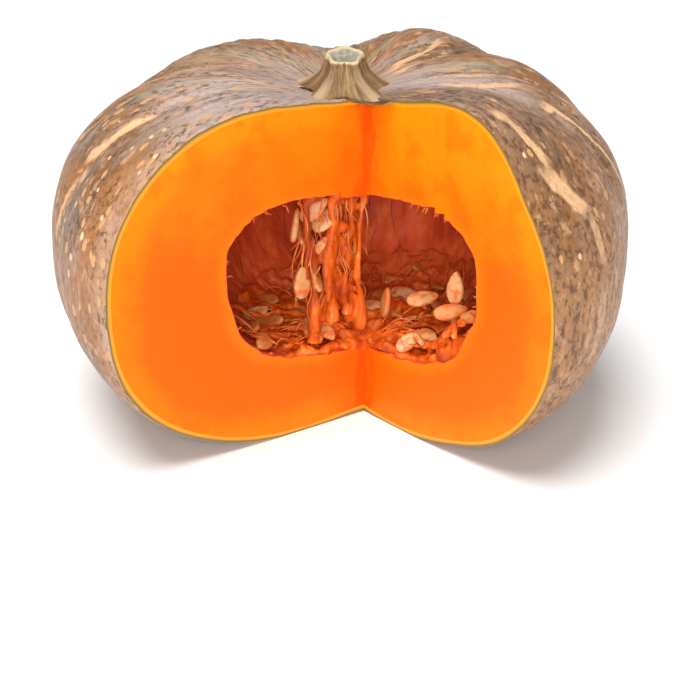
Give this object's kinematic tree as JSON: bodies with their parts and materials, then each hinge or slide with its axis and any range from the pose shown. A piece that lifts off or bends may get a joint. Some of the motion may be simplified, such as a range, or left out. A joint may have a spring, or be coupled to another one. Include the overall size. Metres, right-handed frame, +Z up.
{
  "type": "pumpkin",
  "caption": "Ripe flattened pumpkin with a ribbed grey-green rind and one wedge cut out, showing orange flesh, the seed cavity, stringy pulp and seeds.",
  "frame": {"origin": "centre of the whole pumpkin's box in plan, at the height of the surface it stands on", "axes": "+Z up through the stem; the wedge opens towards -Y; +X to the right seen from the opening"},
  "size_m": [0.251, 0.2204, 0.1649],
  "materials": {
    "rind": "waxy, speckled skin of a ripe pumpkin",
    "flesh": "moist cut flesh, satin",
    "stem": "dry, corky, matt",
    "pulp": "wet, stringy, with tan seeds"
  },
  "bodies": {
    "root": {"rind": "rind", "flesh": "flesh", "stem": "stem", "pulp_curtain": "pulp", "pulp_bed": "pulp"}
  },
  "joints": []
}
